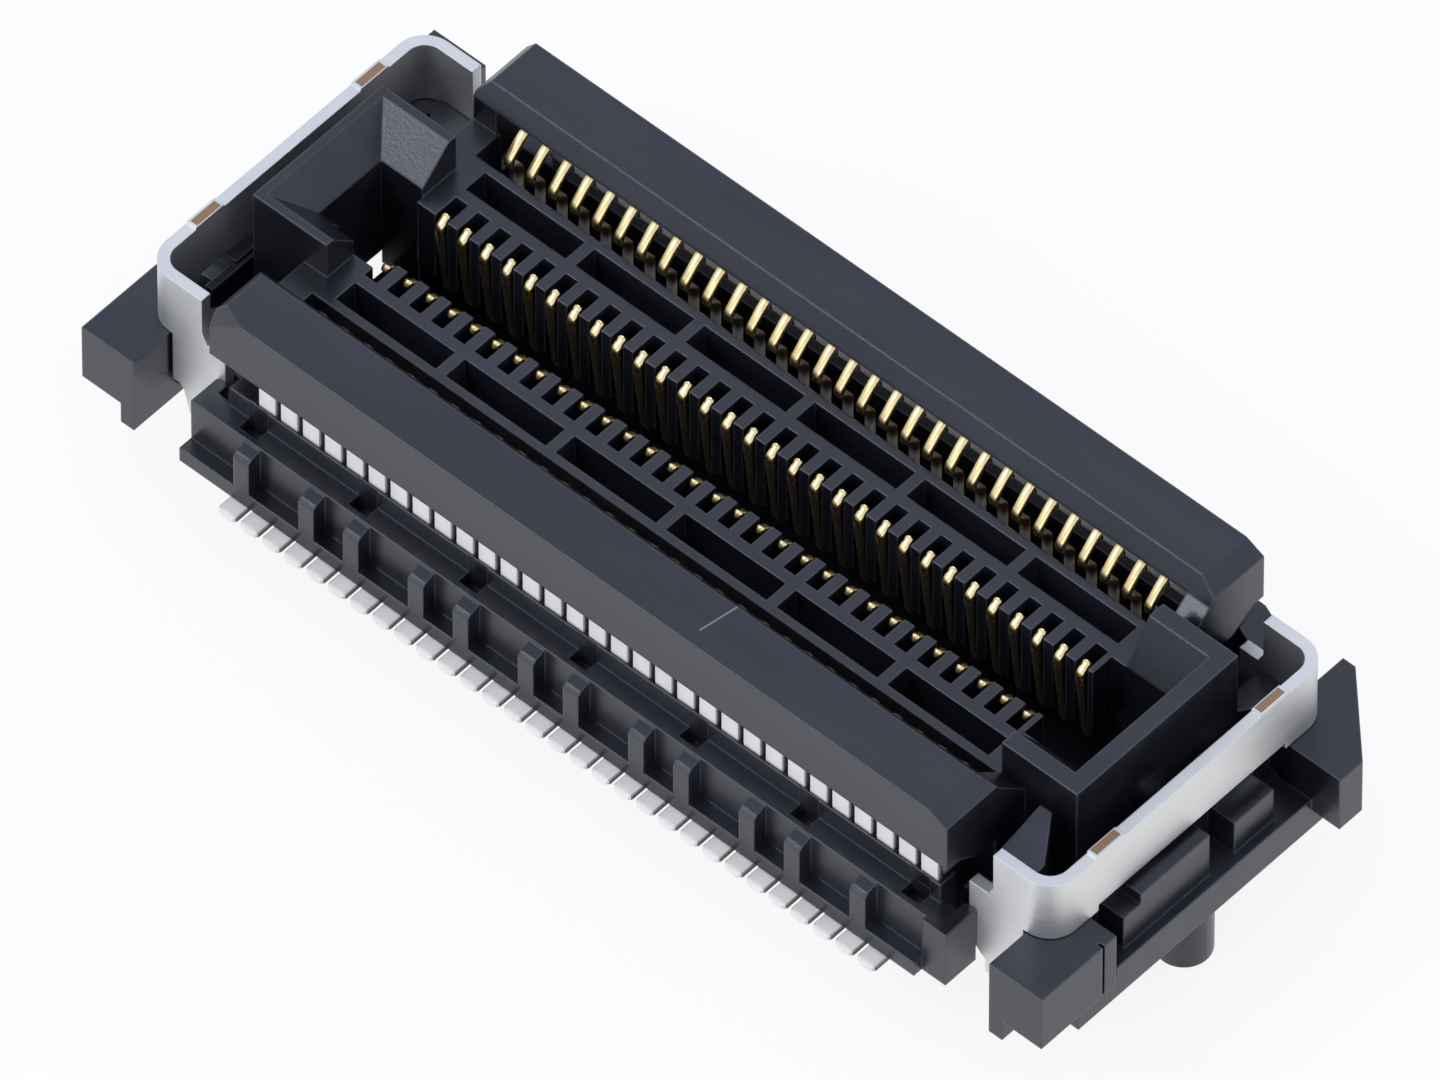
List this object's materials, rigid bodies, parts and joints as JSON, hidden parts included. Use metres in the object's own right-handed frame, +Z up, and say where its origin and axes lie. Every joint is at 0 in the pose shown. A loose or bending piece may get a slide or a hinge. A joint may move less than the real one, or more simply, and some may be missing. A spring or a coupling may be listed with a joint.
{
  "type": "board to board connector",
  "caption": "Low board to board connector with a floating black housing, rows of gold spring contacts, plated end brackets and locating pegs.",
  "frame": {"origin": "on the board surface, under the middle of the contact field", "axes": "+X along the contact rows towards the end with the wide lead-in, +Y across the rows towards the back row, +Z up from the board"},
  "size_m": [0.0223, 0.0096, 0.0055],
  "materials": {
    "black_moulding": "fine matt moulded",
    "tin_plating": "satin",
    "gold_plating": "polished"
  },
  "bodies": {
    "base": {"fixed_housing": "black_moulding", "bracket_right": "tin_plating", "bracket_left": "tin_plating", "contacts_back_01": "gold_plating", "contacts_back_02": "gold_plating", "contacts_back_03": "gold_plating", "contacts_back_04": "gold_plating", "contacts_back_05": "gold_plating", "contacts_back_06": "gold_plating", "contacts_back_07": "gold_plating", "contacts_back_08": "gold_plating", "contacts_back_09": "gold_plating", "contacts_back_10": "gold_plating", "contacts_back_11": "gold_plating", "contacts_back_12": "gold_plating", "contacts_back_13": "gold_plating", "contacts_back_14": "gold_plating", "contacts_back_15": "gold_plating", "contacts_front_01": "gold_plating", "contacts_front_02": "gold_plating", "contacts_front_03": "gold_plating", "contacts_front_04": "gold_plating", "contacts_front_05": "gold_plating", "contacts_front_06": "gold_plating", "contacts_front_07": "gold_plating", "contacts_front_08": "gold_plating", "contacts_front_09": "gold_plating", "contacts_front_10": "gold_plating", "contacts_front_11": "gold_plating", "contacts_front_12": "gold_plating", "contacts_front_13": "gold_plating", "contacts_front_14": "gold_plating", "contacts_front_15": "gold_plating"},
    "float": {"floating_housing": "black_moulding"}
  },
  "joints": [
    {"name": "housing_float", "type": "slide", "parent": "base", "child": "float", "axis": [1, 0, 0], "range_m": [-0.0003, 0.0003], "stiffness_N_per_m": 2000, "deforming": ["contacts_back_01", "contacts_back_02", "contacts_back_03", "contacts_back_04", "contacts_back_05", "contacts_back_06", "contacts_back_07", "contacts_back_08", "contacts_back_09", "contacts_back_10", "contacts_back_11", "contacts_back_12", "contacts_back_13", "contacts_back_14", "contacts_back_15", "contacts_front_01", "contacts_front_02", "contacts_front_03", "contacts_front_04", "contacts_front_05", "contacts_front_06", "contacts_front_07", "contacts_front_08", "contacts_front_09", "contacts_front_10", "contacts_front_11", "contacts_front_12", "contacts_front_13", "contacts_front_14", "contacts_front_15"]}
  ]
}
